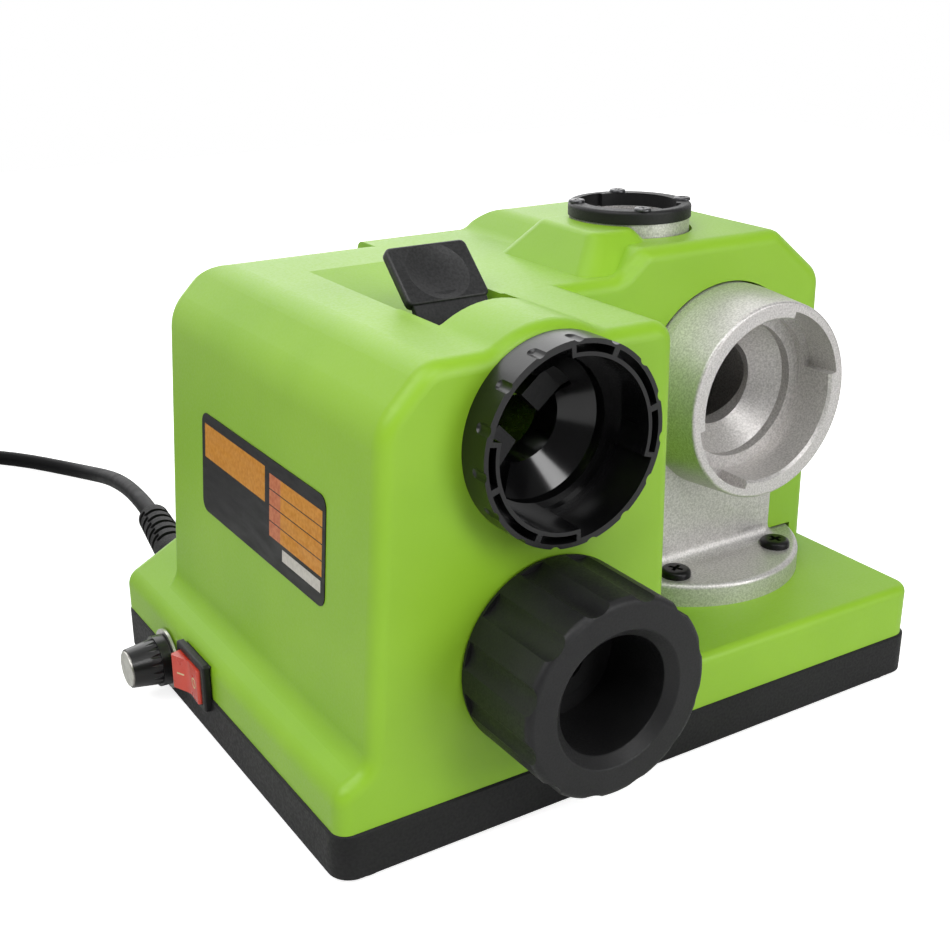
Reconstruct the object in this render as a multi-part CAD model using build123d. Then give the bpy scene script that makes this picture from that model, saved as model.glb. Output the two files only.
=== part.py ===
"""Electric drill-bit sharpener on a bench tray: gauge port, drill chuck, grinding head, motor and lead.

Millimetres. X runs along the front, Y runs to the rear and Z is up. The pieces are drawn about the
middle of the tray and are moved on saving, so the machine without its lead stands centred on the origin.
"""
import math
import os

from build123d import *

os.makedirs("parts", exist_ok=True)

# Tray, feet and moulded housing
base_width = 196.4
base_depth = 148.0
base_corner = 6.0
foot_height = 1.8
foot_radius = 8.0
foot_inset = 9.8
tray_height = 12.8
tray_floor = 2.5
wall = 2.6
housing_inset = 0.6
edge_round = 4.0
rear_round = 13.0
ledge_rise = 10.8
ledge_width = 8.8
ledge_climb = 4.8
tower_lean = 5.2
tower_bevel_width = 12.4
tower_bevel_height = 12.7
tower_top = 126.4
tower_right_width = 36.2
tower_right_lean = 2.4
trunk_depth = 20.1
trunk_height = 21.4
slab_height = 15.7
head_setback = 42.9
shoulder_width = 24.5
plateau_step = 8.0
plateau_rise = 6.6
head_side_inset = 3.8
head_side_lean = 2.0
head_bevel_width = 18.5
head_bevel_height = 14.5
pad_rise = 3.4
pad_length = 44.0
pad_width = 33.0
screw_radius = 1.6
boss_radius = 4.2
boss_edge = 7.2

# Gauge port and lever
port_inset = 59.4
gauge_z = 104.3
gauge_radius = 25.1
gauge_proud = 9.2
gauge_tube = 24.3
gauge_bore = 21.0
gauge_lug_radius = 23.4
gauge_throat = 11.0
gauge_length = 22.4
funnel_setback = 7.6
funnel_depth = 6.0
notch_count = 15
notch_radius = 1.9
notch_depth = 0.6
notch_length = 3.4
hood_radius = 27.0
hood_length = 25.4
hood_fade = 20.0
hood_blend = 8.0
slot_length = 24.0
recess_length = 71.0
recess_depth = 10.4
jaw_width = 7.0
jaw_length = 11.0
jaw_reach = 4.5
lever_width = 24.0
lever_gap = 3.3
lever_thick = 3.2
dish_radius = 46.0
dish_depth = 1.0
lever_angle = 31.7
lever_plate = 20.0
lever_height = 15.8
pin_setback = 16.0
pin_z = 113.0
pin_radius = 2.0

# Chuck parked under the gauge
chuck_z = 47.7
knob_radius = 25.8
knob_length = 28.5
knob_bore = 15.3
knob_web = 5.5
flute_count = 12
flute_radius = 6.0
flute_depth = 1.3
chuck_radius = 17.0
chuck_length = 28.0
chuck_lug_radius = 22.2
lug_depth = 2.2
chuck_bore = 7.0
stem_radius = 11.0
pocket_wall = 1.6
pocket_depth = 33.0

# Grinding head and top port
flange_inset = 46.3
flange_setback = 13.8
flange_radius = 38.0
flange_thick = 7.0
column_left_reach = 22.5
column_right_reach = 24.5
column_proud = 3.5
column_depth = 42.0
column_blend = 4.0
cup_offset = 2.5
cup_radius = 28.7
cup_root = 30.2
cup_bore = 23.6
cup_reach = 16.9
chamber_radius = 24.5
chamber_wall = 2.6
collar_offset = 11.5
collar_radius = 17.6
collar_bore = 13.5
collar_rise = 3.7
ring_radius = 18.0
ring_height = 3.8
head_screw_circle = 31.0
head_screw_cap = 4.5
head_screw_rise = 2.2
ring_screw_circle = 15.8
ring_screw_rise = 0.9

# Motor and wheel, on one axis along X
motor_setback = 71.9
motor_z = 89.8
motor_radius = 24.0
motor_length = 78.0
front_bell_length = 7.0
rear_bell_length = 8.0
bearing_radius = 9.5
bearing_length = 6.0
shaft_radius = 4.0
core_radius = 16.5
magnet_radius = 21.9
commutator_radius = 8.0
wheel_setback = 7.0
wheel_rim = 7.0
wheel_radius = 22.0
wheel_length = 25.0
wheel_tip_radius = 11.2

# Switch, speed control and lead
rocker_spacing = 23.3
rocker_z = 18.0
bezel_length = 20.0
bezel_width = 14.6
bezel_proud = 2.0
rocker_tilt = 10.0
rocker_pin_radius = 0.9
knob_setback = 37.6
knob_z = 12.5
dial_radius = 9.0
dial_knob_radius = 7.6
dial_reach = 13.0
bushing_radius = 3.5
board_width = 50.0
board_depth = 32.0
board_inset = 33.4
board_setback = 45.4
relief_inset = 17.9
relief_z = 25.5
relief_angle = 8.0
relief_length = 38.0
relief_radius = 6.0
relief_neck = 5.0
cord_radius = 3.0
coil_pitch = 6.6
coil_inner = 26.2
layer_gap = 0.8
half_turns_in = 5
half_turns_out = 5
tie_thick = 1.0
tie_width = 8.0
boot_length = 30.0
plug_length = 36.0
plug_width = 35.0
plug_thick = 13.7
pin_length = 19.0
pin_spacing = 19.0

# Clearances
seat_gap = 0.15
run_gap = 0.05
body_gap = 0.3
loose_gap = 0.5
lug_gap = 0.8

# Places that follow from the sizes
parting = foot_height + tray_height
front = -base_depth / 2 + housing_inset
rear = base_depth / 2 - housing_inset
left = -base_width / 2 + housing_inset
right = base_width / 2 - housing_inset
ledge_rim_z = parting + ledge_rise
ledge_root_x = left + ledge_width
ledge_root_z = ledge_rim_z + ledge_climb
tower_chamfer_x = ledge_root_x + tower_lean
tower_chamfer_z = tower_top - tower_bevel_height
port_x = left + port_inset
tower_right_top = port_x + tower_right_width
tower_right_low = tower_right_top + tower_right_lean
tower_rear = rear - trunk_depth
trunk_top = parting + trunk_height
slab_top = parting + slab_height
head_front = front + head_setback
plateau_top = tower_top + plateau_rise
head_wall_low_x = right - head_side_inset
head_wall_top_x = head_wall_low_x - head_side_lean
hood_rear = front + hood_length
pin_y = hood_rear + pin_setback
pocket_radius = chuck_lug_radius + lug_gap + pocket_wall
flange_x = right - flange_inset
flange_y = head_front + flange_setback
column_left = flange_x - column_left_reach
column_right = flange_x + column_right_reach
column_front = head_front - column_proud
column_rear = column_front + column_depth
cup_x = flange_x + cup_offset
cup_rim = column_front - cup_reach
collar_x = flange_x - collar_offset
collar_top = plateau_top + collar_rise
motor_y = front + motor_setback
motor_right = column_left - front_bell_length
motor_left = motor_right - motor_length
wheel_left = column_left + wheel_setback
wheel_tip = wheel_left + wheel_length
knob_y = rear - knob_setback
rocker_y = knob_y - rocker_spacing
relief_x = left + relief_inset
board_left = left + board_inset
board_front = rear - board_setback
left_end = -base_width / 2 - dial_reach
knob_back = front - seat_gap
knob_end = knob_back - knob_length
center_x = (left_end + base_width / 2) / 2
center_y = (knob_end + base_depth / 2) / 2


def save(name, shape):
    """Write one node, moved so that the machine without its lead is centred on the origin."""
    solids = shape if isinstance(shape, list) else [shape]
    moved = [Pos(-center_x, -center_y, 0) * solid for solid in solids]
    export_step(moved[0] if len(moved) == 1 else Compound(moved), f"parts/{name}.step")


def block(x0, x1, y0, y1, z0, z1):
    """Make a box from its limits."""
    return Pos((x0 + x1) / 2, (y0 + y1) / 2, (z0 + z1) / 2) * Box(x1 - x0, y1 - y0, z1 - z0)


def rod_x(radius, y, z, x0, x1):
    """Make a cylinder along X."""
    return Pos((x0 + x1) / 2, y, z) * Rot(0, 90, 0) * Cylinder(radius, x1 - x0)


def rod_y(radius, x, z, y0, y1):
    """Make a cylinder along Y."""
    return Pos(x, (y0 + y1) / 2, z) * Rot(90, 0, 0) * Cylinder(radius, y1 - y0)


def rod_z(radius, x, y, z0, z1):
    """Make a cylinder along Z."""
    return Pos(x, y, (z0 + z1) / 2) * Cylinder(radius, z1 - z0)


def along_y(face, y0, y1):
    """Extrude a face drawn in X and Z from y0 to y1."""
    return extrude(Plane.XZ.offset(-y1) * face, amount=y1 - y0)


def along_x(face, x0, x1):
    """Extrude a face drawn in Y and Z from x0 to x1."""
    return extrude(Plane.YZ.offset(x0) * face, amount=x1 - x0)


def outline(points, radii=None):
    """Make a face from corner points, each corner with its own radius."""
    if radii is None:
        return make_face(Polyline(*points, close=True))
    return make_face(FilletPolyline(*points, radius=radii, close=True))


def turned_x(points, y, z):
    """Turn (x, radius) points about a line along X."""
    return Pos(0, y, z) * revolve(outline(points), Axis.X)


def turned_y(points, x, z, radii=None):
    """Turn (radius, y) points about a line along Y."""
    return Pos(x, 0, z) * revolve(outline(points, radii), Axis.Y)


def turned_z(points, x, y):
    """Turn (radius, z) points about a line along Z."""
    return Pos(x, y, 0) * revolve(Plane.XZ * outline(points), Axis.Z)


def arc_face(inner, outer, start, end):
    """Make a ring sector face about the origin, angles in degrees."""
    near = CenterArc((0, 0), inner, start, end - start)
    far = CenterArc((0, 0), outer, start, end - start)
    return make_face([near, far, Line(near @ 0, far @ 0), Line(near @ 1, far @ 1)])


def arc_block(inner, outer, start, end, x, z, y0, y1):
    """Make a ring sector about a line along Y."""
    return along_y(Pos(x, z) * arc_face(inner, outer, start, end), y0, y1)


def polar(radius, angle):
    """Give the two coordinates of a point at an angle in degrees."""
    turn = math.radians(angle)
    return radius * math.cos(turn), radius * math.sin(turn)


# Housing: a tower with a sloped ledge on its left, a slab, a rear trunk and the grinding side
def tower_face(floor):
    """Draw the front view of the tower and its ledge."""
    points = [
        (left, floor),
        (left, ledge_rim_z),
        (ledge_root_x, ledge_root_z),
        (tower_chamfer_x, tower_chamfer_z),
        (tower_chamfer_x + tower_bevel_width, tower_top),
        (tower_right_top, tower_top),
        (tower_right_low, floor),
    ]
    return outline(points, [0, 5.5, 6, 14, 10, 5.5, 0])


def head_face(floor):
    """Draw the front view of the grinding side."""
    points = [
        (tower_right_top - 20, floor),
        (tower_right_top - 20, tower_top),
        (collar_x - shoulder_width, tower_top),
        (collar_x - shoulder_width + plateau_step, plateau_top),
        (head_wall_top_x - head_bevel_width, plateau_top),
        (head_wall_top_x, plateau_top - head_bevel_height),
        (head_wall_low_x, floor),
    ]
    return outline(points, [0, 0, 6, 6, 6, 8, 0])


def trunk_face(floor):
    """Draw the front view of the rear trunk."""
    slope = (ledge_root_z - ledge_rim_z) / (ledge_root_x - left)
    points = [
        (left, floor),
        (left, ledge_rim_z),
        (left + (trunk_top - ledge_rim_z) / slope, trunk_top),
        (head_wall_low_x - 1, trunk_top),
        (head_wall_low_x, floor),
    ]
    return outline(points, [0, 5.5, 5.5, 5.5, 0])


def edges_at(shape, axis, place):
    """Pick the edges lying in one plane, without the one on the parting line."""
    flat = shape.edges().filter_by_position(axis, place - 0.01, place + 0.01)
    return flat.filter_by(lambda edge: edge.center().Z > parting + 0.1)


def hood_face(radius):
    """Draw the front view of the tower with the hood over the gauge blended into its top."""
    face = tower_face(parting) + Pos(port_x, gauge_z) * Circle(radius)
    corners = face.vertices().filter_by(lambda corner: abs(corner.Y - tower_top) < 0.1)
    corners = corners.filter_by(lambda corner: abs(corner.X - port_x) < radius)
    return fillet(corners, hood_blend)


def rounded_rear(top, inset=0):
    """Make the side view that gives the tower and the grinding side their round top edge at the rear."""
    end_y = tower_rear - inset
    points = [(front - 5, 0), (end_y, 0), (end_y, top - inset), (front - 5, top - inset)]
    return along_x(outline(points, [0, 0, rear_round - inset, 0]), left - 5, right + 5)


tower = along_y(tower_face(parting), front, tower_rear)
tower = fillet(edges_at(tower, Axis.Y, front), edge_round)
tower = fillet(edges_at(tower, Axis.Y, tower_rear), edge_round)
tower = tower & rounded_rear(tower_top)
head_box = along_y(head_face(parting), head_front, tower_rear)
head_edges = edges_at(head_box, Axis.Y, head_front) + edges_at(head_box, Axis.Y, tower_rear)
head_box = fillet(head_edges.filter_by(lambda edge: edge.center().X > tower_right_top - 19), edge_round)
head_box = head_box & rounded_rear(plateau_top)
trunk = along_y(trunk_face(parting), tower_rear - 3 * edge_round, rear)
trunk = fillet(edges_at(trunk, Axis.Y, rear), edge_round)
slab = extrude(
    Pos((left + right) / 2, 0, parting) * RectangleRounded(right - left, rear - front, base_corner),
    amount=slab_top - parting,
)
slab = fillet(slab.edges().group_by(Axis.Z)[-1], 2.5)
slab = slab - block(left - 1, port_x, front - 1, rear + 1, parting - 1, slab_top + 1)

pad_x = collar_x - 18.4
pad_y = motor_y - 3.5
pad_low = Pos(pad_x, pad_y, tower_top - 0.4) * RectangleRounded(pad_width, pad_length, 5)
pad_high = Pos(pad_x, pad_y, plateau_top + pad_rise) * RectangleRounded(pad_width - 18.5, pad_length - 16, 4)
pad = loft([pad_low, pad_high])
pad = fillet(pad.edges().group_by(Axis.Z)[-1], 3)

hood = along_y(hood_face(hood_radius), front, hood_rear + hood_fade)
hood = fillet(edges_at(hood, Axis.Y, front), edge_round)
hood_slope = [
    (hood_rear, gauge_z + hood_radius),
    (hood_rear + hood_fade, tower_top),
    (hood_rear + 2 * hood_fade, tower_top),
    (hood_rear + 2 * hood_fade, tower_top + 20),
    (hood_rear, tower_top + 20),
]
hood = hood - along_x(outline(hood_slope), port_x - 40, port_x + 40)

shell = tower + head_box + trunk + slab + pad + hood

cavity = along_y(offset(tower_face(parting - 3 * wall), -wall), front + wall, tower_rear - wall)
cavity = cavity & rounded_rear(tower_top, wall)
head_room = along_y(offset(head_face(slab_top - wall), -wall), head_front + wall, tower_rear - wall)
cavity += head_room & rounded_rear(plateau_top, wall)
cavity += along_y(offset(trunk_face(parting - 3 * wall), -wall), tower_rear - 25, rear - wall)
cavity += block(port_x - 9, right - wall, front + wall, rear - wall, parting - 1, slab_top - wall)
cavity += rod_y(hood_radius - wall, port_x, gauge_z, front + wall, hood_rear - wall)

recess_half = lever_width / 2 + lever_gap
slot_front = hood_rear
slot_rear = hood_rear + slot_length
recess_rear = hood_rear + recess_length
recess_cut = [
    (slot_front, 150),
    (slot_front, pin_z - 12),
    (slot_rear, pin_z - 12),
    (slot_rear, tower_top - recess_depth),
    (recess_rear, tower_top + 0.3),
    (recess_rear, 150),
]
recess_wall = [
    (slot_front - wall, 150),
    (slot_front - wall, pin_z - 6),
    (slot_rear + wall, pin_z - 6),
    (slot_rear + wall, tower_top - recess_depth - wall),
    (recess_rear + wall, tower_top - wall),
    (recess_rear + wall, 150),
]
cavity -= along_x(outline(recess_wall), port_x - recess_half - wall, port_x + recess_half + wall)
shell -= cavity
shell -= along_x(outline(recess_cut), port_x - recess_half, port_x + recess_half)

boss_places = [
    (side * (base_width / 2 - boss_edge), end * (base_depth / 2 - boss_edge * 1.8))
    for side in (-1, 1)
    for end in (-1, 1)
]
head_screw_places = []
for angle in (-50, -130, 90):
    reach_x, reach_y = polar(head_screw_circle, angle)
    head_screw_places.append((flange_x + reach_x, flange_y + reach_y))
for x, y in boss_places:
    boss_top = slab_top - wall / 2 if x > 0 else ledge_rim_z + 0.6
    shell += rod_z(boss_radius, x, y, parting, boss_top)
for x, y in head_screw_places:
    shell += rod_z(boss_radius, x, y, slab_top - 12, slab_top)
for x, y in boss_places:
    shell -= rod_z(screw_radius + run_gap, x, y, parting - 1, parting + 11)
for x, y in head_screw_places:
    shell -= rod_z(screw_radius + run_gap, x, y, slab_top - 11, slab_top + 1)

shell -= rod_y(gauge_tube + seat_gap, port_x, gauge_z, front - 1, front + wall + 1)
shell -= rod_y(pocket_radius + seat_gap, port_x, chuck_z, front - 1, front + wall + 1)
shell -= rod_x(pin_radius + run_gap, pin_y, pin_z, port_x - recess_half - wall, port_x + recess_half + wall)
head_top_z = slab_top + flange_thick
opening = rod_z(flange_radius + loose_gap, flange_x, flange_y, slab_top, head_top_z + loose_gap)
opening += block(
    column_left - loose_gap,
    column_right + loose_gap,
    column_front - 10,
    column_rear,
    slab_top,
    motor_z,
)
opening += rod_y(cup_root + loose_gap, cup_x, motor_z, cup_rim, column_rear)
shell -= opening
shell -= rod_z(ring_radius + loose_gap, collar_x, motor_y, collar_top - 26, collar_top + 20)

rocker_hole = block(
    left - 3,
    left + 18,
    rocker_y - bezel_length / 2 + 1,
    rocker_y + bezel_length / 2 - 1,
    rocker_z - bezel_width / 2 + 1,
    rocker_z + bezel_width / 2 - 1,
)
bushing_hole = rod_x(bushing_radius + seat_gap, knob_y, knob_z, left - 3, left + 8)
relief_axis = Plane(
    origin=(relief_x, base_depth / 2 - housing_inset, relief_z),
    x_dir=(0, 0, 1),
    z_dir=(math.sin(math.radians(relief_angle)), math.cos(math.radians(relief_angle)), 0),
)
relief_hole = rod_y(relief_neck + seat_gap, relief_x, relief_z, rear - 10, rear + 1)
shell -= rocker_hole
shell -= bushing_hole
shell -= relief_hole
save("housing", shell)

# Base tray with posts, and the feet
tray_plan = RectangleRounded(base_width, base_depth, base_corner)
tray = extrude(Pos(0, 0, foot_height) * tray_plan, amount=tray_height)
tray = chamfer(tray.edges().group_by(Axis.Z)[-1], 0.5)
tray = fillet(tray.edges().group_by(Axis.Z)[0], 0.6)
tray_room = RectangleRounded(base_width - 2 * wall, base_depth - 2 * wall, base_corner - wall)
tray -= extrude(Pos(0, 0, foot_height + tray_floor) * tray_room, amount=tray_height)
for x, y in boss_places:
    tray += rod_z(boss_radius + 0.6, x, y, foot_height, parting)
for x, y in boss_places:
    tray -= rod_z(screw_radius + 0.4, x, y, foot_height - 1, parting + 1)
    tray -= rod_z(3.4, x, y, foot_height - 1, foot_height + 4)
tray -= rocker_hole
tray -= bushing_hole
foot_places = [
    (side * (base_width / 2 - foot_inset), end * (base_depth / 2 - foot_inset))
    for side in (-1, 1)
    for end in (-1, 1)
]
feet = []
for x, y in foot_places:
    foot = rod_z(foot_radius, x, y, 0, foot_height)
    feet.append(fillet(foot.edges().group_by(Axis.Z)[0], 0.8))
save("rubber_feet", feet)

screws = []
for x, y in boss_places:
    screw = rod_z(3.1, x, y, foot_height + 1.4, foot_height + 4) + rod_z(
        screw_radius, x, y, foot_height + 3.9, parting + 10
    )
    screws.append(screw)
save("housing_screws", screws)

# Gauge port: a ring with pockets, a funnel and a throat, with a slot for each jaw
gauge_front = front - gauge_proud
funnel_start = front + funnel_setback
funnel_end = funnel_start + funnel_depth
gauge_end = front + gauge_length
gauge = turned_y(
    [
        (gauge_bore, gauge_front),
        (gauge_radius, gauge_front),
        (gauge_radius, front),
        (gauge_tube, front),
        (gauge_tube, front + 9),
        (gauge_bore - 0.5, front + 9),
        (gauge_bore - 0.5, gauge_end),
        (gauge_throat, gauge_end),
        (gauge_throat, funnel_end),
        (gauge_bore - 2.6, funnel_start),
        (gauge_bore - 2.6, front + 4.4),
        (gauge_bore, front + 4.4),
    ],
    port_x,
    gauge_z,
)
for start, end in ((95, 167), (275, 342)):
    gauge -= arc_block(
        gauge_bore - 1, gauge_lug_radius, start, end, port_x, gauge_z, gauge_front - 1, front + 3.4
    )
for start, end in ((-15, 11), (15, 61), (65, 92), (170, 194.5), (198.5, 242), (246, 272)):
    rim_inner = gauge_radius - 2 * notch_depth
    gauge -= arc_block(
        gauge_bore + 1.0, rim_inner, start, end, port_x, gauge_z, gauge_front - 1, front - 3
    )
for index in range(notch_count):
    notch_x, notch_z = polar(gauge_radius + notch_radius - notch_depth, 90 + 360 / notch_count * index)
    notch_end = gauge_front + notch_length
    gauge -= rod_y(notch_radius, port_x + notch_x, gauge_z + notch_z, gauge_front - 1, notch_end)
    gauge -= Pos(port_x + notch_x, notch_end, gauge_z + notch_z) * Sphere(notch_radius)
jaw_slot = jaw_width + 4.4
jaw_frame = Pos(port_x, 0, gauge_z) * Rot(0, -45, 0)
jaw_rear = funnel_end + 4
jaw_guide = jaw_width / 2 + body_gap
gauge -= jaw_frame * block(-gauge_tube, 0, front + 6, funnel_end + 1.2, -jaw_slot / 2, jaw_slot / 2) & rod_y(
    gauge_tube - 5, port_x, gauge_z, front, gauge_end
)
gauge -= jaw_frame * block(
    -gauge_bore, gauge_bore, funnel_end - 3, jaw_rear + body_gap, -jaw_guide, jaw_guide
)
save("gauge_body", gauge)

jaw_end = jaw_reach + jaw_length
jaw_blank = [
    (jaw_reach, funnel_end + 0.6),
    (jaw_reach, jaw_rear),
    (jaw_end, jaw_rear),
    (jaw_end, funnel_end - 2.4),
    (jaw_end - 3, funnel_end - 0.4),
]
jaw_half = extrude(outline(jaw_blank), amount=jaw_width / 2, both=True)
save("gauge_jaw_upper", jaw_frame * jaw_half)
save("gauge_jaw_lower", jaw_frame * Rot(0, 180, 0) * jaw_half)

# Lever: a dished thumb plate on a stem, its pin and its return spring
lean = math.radians(lever_angle)
plate_low_y = pin_y - 0.5
plate_low_z = pin_z + lever_height
plate_top_y = plate_low_y + lever_plate * math.cos(lean)
plate_top_z = plate_low_z + lever_plate * math.sin(lean)
back_y = lever_thick * math.sin(lean)
back_z = -lever_thick * math.cos(lean)
plate_outline = [
    (plate_low_y, plate_low_z),
    (plate_top_y, plate_top_z),
    (plate_top_y + back_y, plate_top_z + back_z),
    (plate_low_y + back_y + 5, plate_low_z + back_z + 5 * math.tan(lean)),
    (pin_y + 3.2, pin_z + 8),
    (pin_y + 3.2, pin_z - 14),
    (pin_y - 0.8, pin_z - 14),
    (pin_y - 2.2, pin_z),
    (pin_y - 6.5, pin_z + 5),
    (pin_y - 6.5, plate_low_z - 3.5),
]
lever_left = port_x - lever_width / 2
lever_right = port_x + lever_width / 2
lever = along_x(outline(plate_outline, [1.4, 1.5, 1.4, 0, 4, 1, 1, 0, 1.5, 1.5]), lever_left, lever_right)
lever += rod_x(4.4, pin_y, pin_z, lever_left, lever_right)
lever -= rod_x(pin_radius + run_gap, pin_y, pin_z, port_x - lever_width, port_x + lever_width)
lever -= block(port_x - 5, port_x + 5, pin_y - 5, pin_y + 5, pin_z - 5, pin_z + 5)
dish_mid = lever_plate * 0.52
dish_y = plate_low_y + dish_mid * math.cos(lean) - (dish_radius - dish_depth) * math.sin(lean)
dish_z = plate_low_z + dish_mid * math.sin(lean) + (dish_radius - dish_depth) * math.cos(lean)
lever -= Pos(port_x, dish_y, dish_z) * Sphere(dish_radius)
save("gauge_lever", lever)
pin_reach = recess_half + wall
save("lever_pin", rod_x(pin_radius, pin_y, pin_z, port_x - pin_reach, port_x + pin_reach))
spring = rod_x(3.6, pin_y, pin_z, port_x - 4.4, port_x + 4.4) - rod_x(
    pin_radius + 0.2, pin_y, pin_z, port_x - 5, port_x + 5
)
save("lever_spring", spring)

# Chuck: pocket in the housing, body with two lugs, jaws and the fluted knob
pocket_end = front + pocket_depth
pocket = turned_y(
    [
        (pocket_radius - pocket_wall, front),
        (pocket_radius, front),
        (pocket_radius, pocket_end),
        (0, pocket_end),
        (0, pocket_end - pocket_wall),
        (pocket_radius - pocket_wall, pocket_end - pocket_wall),
    ],
    port_x,
    chuck_z,
)
pocket += turned_y(
    [
        (pocket_radius - 0.2, front + wall + seat_gap),
        (pocket_radius + 3, front + wall + seat_gap),
        (pocket_radius + 3, front + wall + 2.4),
        (pocket_radius - 0.2, front + wall + 2.4),
    ],
    port_x,
    chuck_z,
)
save("chuck_pocket", pocket)

stem_front = knob_back - knob_web
body_front = knob_back + seat_gap
body_end = body_front + chuck_length
lug_root = chuck_lug_radius - lug_depth
chuck_body = turned_y(
    [
        (chuck_bore, stem_front),
        (stem_radius, stem_front),
        (stem_radius, body_front),
        (lug_root, body_front),
        (lug_root, body_front + 4),
        (chuck_radius, body_front + 4),
        (chuck_radius, body_end - 6),
        (stem_radius, body_end),
        (chuck_bore, body_end),
    ],
    port_x,
    chuck_z,
)
for start in (20, 200):
    chuck_body += arc_block(
        lug_root - 0.4, chuck_lug_radius, start, start + 46, port_x, chuck_z, body_front, body_front + 4
    )
save("chuck_body", chuck_body)

chuck_jaws = []
for index in range(6):
    jaw = block(1.8, chuck_bore - body_gap, stem_front + 1, body_end + 2, -0.8, 0.8)
    chuck_jaws.append(Pos(port_x, 0, chuck_z) * Rot(0, 60 * index, 0) * jaw)
save("chuck_jaws", chuck_jaws)

chuck_knob = turned_y(
    [
        (knob_bore, stem_front),
        (knob_bore, knob_end + 2.6),
        (knob_bore + 2.6, knob_end),
        (knob_radius, knob_end),
        (knob_radius, knob_back),
        (stem_radius + run_gap, knob_back),
        (stem_radius + run_gap, stem_front),
    ],
    port_x,
    chuck_z,
    [0, 0.6, 0.6, 1.8, 1, 0, 0],
)
for index in range(flute_count):
    flute_x, flute_z = polar(knob_radius + flute_radius - flute_depth, 360 / flute_count * (index + 0.5))
    chuck_knob -= rod_y(flute_radius, port_x + flute_x, chuck_z + flute_z, knob_end - 1, knob_back - 1.5)
save("chuck_knob", chuck_knob)

# Grinding head: one casting of flange, column, wheel chamber, front cup and top collar
chamber_left = column_left
chamber_right = column_right
chamber_outer = chamber_radius + chamber_wall
head = rod_z(flange_radius, flange_x, flange_y, slab_top, head_top_z)
head = fillet(head.edges().group_by(Axis.Z)[-1], 1.5)
column = block(column_left, column_right, column_front, column_rear, slab_top + 1, motor_z)
column = fillet(column.edges().filter_by(Axis.Z), 3)
head += column
root_edges = head.edges().filter_by_position(Axis.Z, head_top_z - 0.01, head_top_z + 0.01)
root_edges = root_edges.filter_by_position(Axis.X, column_left - 0.1, column_right + 0.1)
root_edges = root_edges.filter_by_position(Axis.Y, column_front - 0.1, column_rear + 0.1)
head = fillet(root_edges, column_blend)
head += rod_x(chamber_outer, motor_y, motor_z, chamber_left, chamber_right)
head += turned_y(
    [(0, cup_rim), (cup_radius, cup_rim), (cup_root, column_front), (cup_root, motor_y), (0, motor_y)],
    cup_x,
    motor_z,
    [0, 0.8, 0, 0, 0],
)
head += rod_z(collar_radius, collar_x, motor_y, motor_z, collar_top)
head -= rod_x(motor_radius + seat_gap, motor_y, motor_z, collar_x - 40, chamber_left)
head -= rod_x(chamber_radius, motor_y, motor_z, chamber_left + 3, chamber_right - 3)
head -= rod_x(bearing_radius + 1, motor_y, motor_z, chamber_left - 1, chamber_left + 4)
head -= rod_z(collar_bore, collar_x, motor_y, motor_z, collar_top + 1)
head -= block(
    column_left + 4,
    column_right - 4,
    column_front + 4,
    column_rear - 4,
    slab_top - 1,
    motor_z - chamber_outer,
)
head -= turned_y(
    [
        (0, cup_rim - 1),
        (cup_bore + 1.6, cup_rim - 1),
        (cup_bore, cup_rim + 0.8),
        (cup_bore, cup_rim + 13),
        (cup_bore - 3.6, cup_rim + 13),
        (cup_bore - 3.6, cup_rim + 16),
        (13, cup_rim + 23),
        (13, motor_y - 14),
        (0, motor_y - 14),
    ],
    cup_x,
    motor_z,
)
for start in (10, 190):
    head -= arc_block(
        cup_bore - 1, cup_radius - 2.6, start, start + 64, cup_x, motor_z, cup_rim - 1, cup_rim + 10.5
    )
for x, y in head_screw_places:
    head -= rod_z(screw_radius + 0.4, x, y, slab_top - 1, head_top_z + 1)
    head -= rod_z(head_screw_cap + loose_gap, x, y, head_top_z, head_top_z + 2 * head_screw_rise)
ring_screw_places = []
for angle in (65, 155, 245, 335):
    reach_x, reach_y = polar(ring_screw_circle, angle)
    ring_screw_places.append((collar_x + reach_x, motor_y + reach_y))
motor_screw_places = []
for angle in (45, 135, 225, 315):
    reach_y, reach_z = polar(15.5, angle)
    motor_screw_places.append((motor_y + reach_y, motor_z + reach_z))
for x, y in ring_screw_places:
    head -= rod_z(1.2 + run_gap, x, y, collar_top - 8, collar_top + 1)
for y, z in motor_screw_places:
    head -= rod_x(screw_radius + 0.4, y, z, chamber_left - 1, chamber_left + 4)
save("grinding_head", head)

head_screws = []
for x, y in head_screw_places:
    cap = rod_z(head_screw_cap, x, y, head_top_z, head_top_z + head_screw_rise)
    cap = fillet(cap.edges().group_by(Axis.Z)[-1], 1.2)
    head_screws.append(cap + rod_z(screw_radius, x, y, slab_top - 9, head_top_z + 0.1))
save("head_screws", head_screws)

ring_top = collar_top + ring_height
ring = rod_z(ring_radius, collar_x, motor_y, collar_top, ring_top)
ring = fillet(ring.edges().group_by(Axis.Z)[-1], 1)
ring -= rod_z(collar_bore + 0.2, collar_x, motor_y, collar_top - 1, ring_top + 1)
for start in (88, 268):
    lug_way = arc_face(collar_bore - 1, collar_bore + 1.7, start, start + 44)
    ring -= Pos(collar_x, motor_y, collar_top - 1) * extrude(lug_way, amount=ring_height + 2)
for x, y in ring_screw_places:
    ring -= rod_z(1.5, x, y, collar_top - 1, ring_top + 1)
save("top_port_ring", ring)
ring_screws = []
for x, y in ring_screw_places:
    cap = rod_z(2.8, x, y, ring_top, ring_top + ring_screw_rise)
    cap = fillet(cap.edges().group_by(Axis.Z)[-1], 0.5)
    ring_screws.append(cap + rod_z(1.2, x, y, collar_top - 7, ring_top + 0.1))
save("top_port_screws", ring_screws)

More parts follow.
